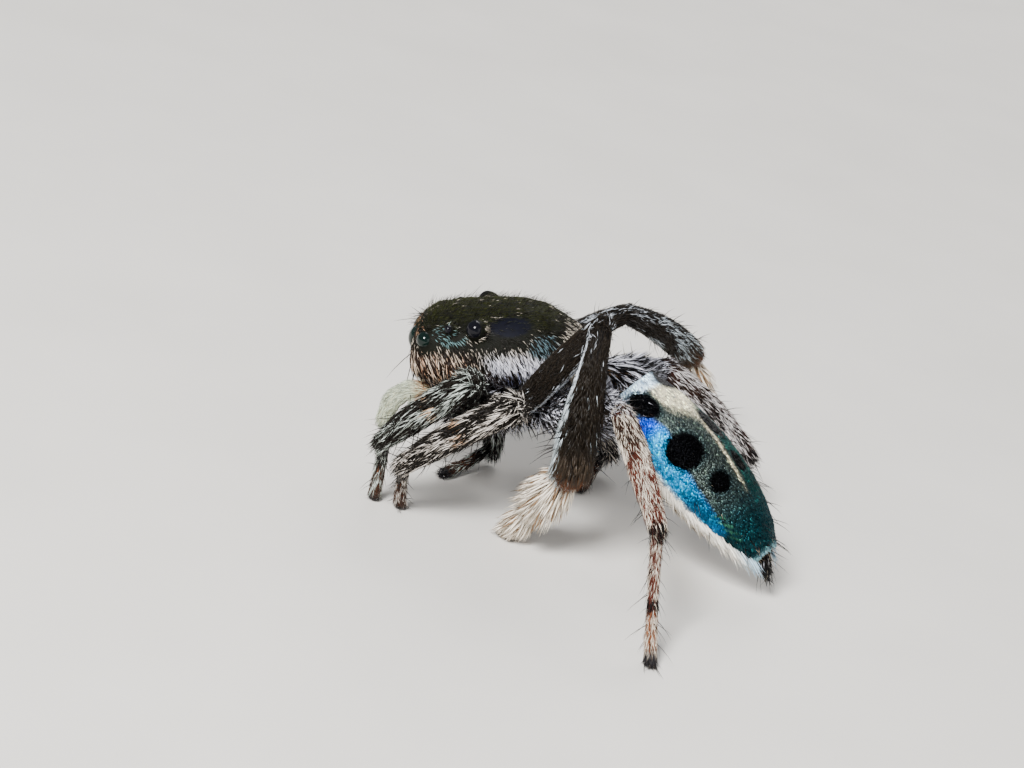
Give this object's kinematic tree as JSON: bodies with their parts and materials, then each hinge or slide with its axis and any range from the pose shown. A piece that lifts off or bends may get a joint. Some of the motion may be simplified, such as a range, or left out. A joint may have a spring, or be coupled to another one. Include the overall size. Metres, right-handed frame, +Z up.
{
  "type": "peacock spider",
  "caption": "Male peacock spider standing on its feet, body dark with pale hair, iridescent shield on its back tilted to one side.",
  "frame": {"origin": "centre of the spider's bounding box, on the floor that its feet stand on", "axes": "+Z up from the floor, -X the way the spider faces, -Y its left side"},
  "size_m": [0.005, 0.0072, 0.003],
  "materials": {
    "carapace": "dark shell with olive and silver hair",
    "eyes": "glossy black",
    "front_eyes": "glossy dark green",
    "underside": "dark brown, hairy",
    "mouthparts": "dark brown",
    "palps": "pale greenish white felt",
    "abdomen": "cream and brown hair",
    "shield": "velvet scales, dark teal with black spots",
    "flaps": "iridescent blue scales, white fringe",
    "dark_legs": "black with pale hair stripes",
    "white_feet": "white brushes",
    "brown_legs": "reddish brown with cream hair"
  },
  "bodies": {
    "root": {"abdomen": "abdomen", "carapace": "carapace", "chelicera_left": "mouthparts", "chelicera_right": "mouthparts", "eye_front_middle_left": "front_eyes", "eye_front_middle_right": "front_eyes", "eye_front_side_left": "front_eyes", "eye_front_side_right": "front_eyes", "eye_rear_left": "eyes", "eye_rear_right": "eyes", "eye_small_left": "eyes", "eye_small_right": "eyes", "flap_left": "flaps", "flap_right": "flaps", "leg_left_1_femur": "dark_legs", "leg_left_1_foot": "dark_legs", "leg_left_1_shin": "dark_legs", "leg_left_2_femur": "dark_legs", "leg_left_2_foot": "dark_legs", "leg_left_2_shin": "dark_legs", "leg_left_3_femur": "dark_legs", "leg_left_3_foot": "white_feet", "leg_left_3_shin": "dark_legs", "leg_left_4_femur": "brown_legs", "leg_left_4_foot": "brown_legs", "leg_left_4_shin": "brown_legs", "leg_right_1_femur": "dark_legs", "leg_right_1_foot": "dark_legs", "leg_right_1_shin": "dark_legs", "leg_right_2_femur": "dark_legs", "leg_right_2_foot": "dark_legs", "leg_right_2_shin": "dark_legs", "leg_right_3_femur": "dark_legs", "leg_right_3_foot": "white_feet", "leg_right_3_shin": "dark_legs", "leg_right_4_femur": "brown_legs", "leg_right_4_foot": "brown_legs", "leg_right_4_shin": "brown_legs", "palp_left": "palps", "palp_right": "palps", "pedicel": "underside", "shield": "shield", "spinnerets": "underside", "sternum": "underside"}
  },
  "joints": []
}
